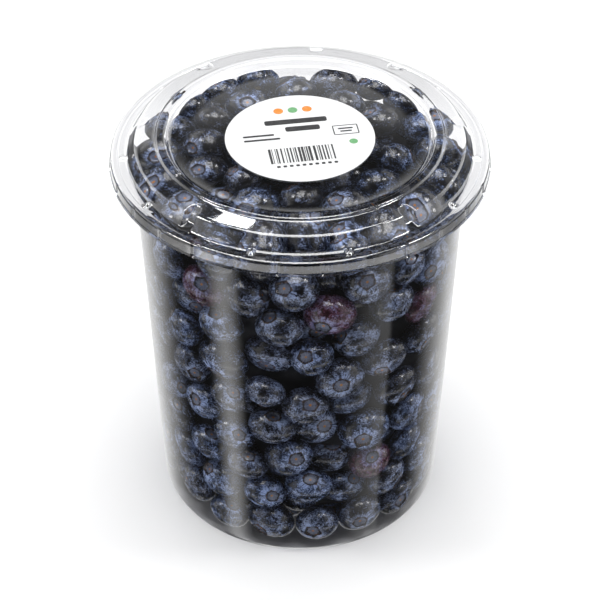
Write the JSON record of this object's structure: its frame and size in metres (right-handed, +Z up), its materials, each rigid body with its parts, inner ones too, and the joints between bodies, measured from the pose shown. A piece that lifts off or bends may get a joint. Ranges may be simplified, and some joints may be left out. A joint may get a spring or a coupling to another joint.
{
  "type": "punnet of blueberries",
  "caption": "Clear round plastic tub with a press-on lid and a plain round label, filled with blueberries to the lid.",
  "frame": {"origin": "middle of the tub's foot, on the surface it stands on", "axes": "+Z up through the tub and the lid, -Y towards the front as shown in the picture"},
  "size_m": [0.115, 0.115, 0.1332],
  "materials": {
    "clear_plastic": "clear, glossy thermoformed sheet",
    "label_paper": "satin white coated paper",
    "berry_skin": "dark blue skin with a pale waxy bloom"
  },
  "bodies": {
    "root": {"tub": "clear_plastic", "lid": "clear_plastic", "label": "label_paper", "berries": "berry_skin"}
  },
  "joints": []
}
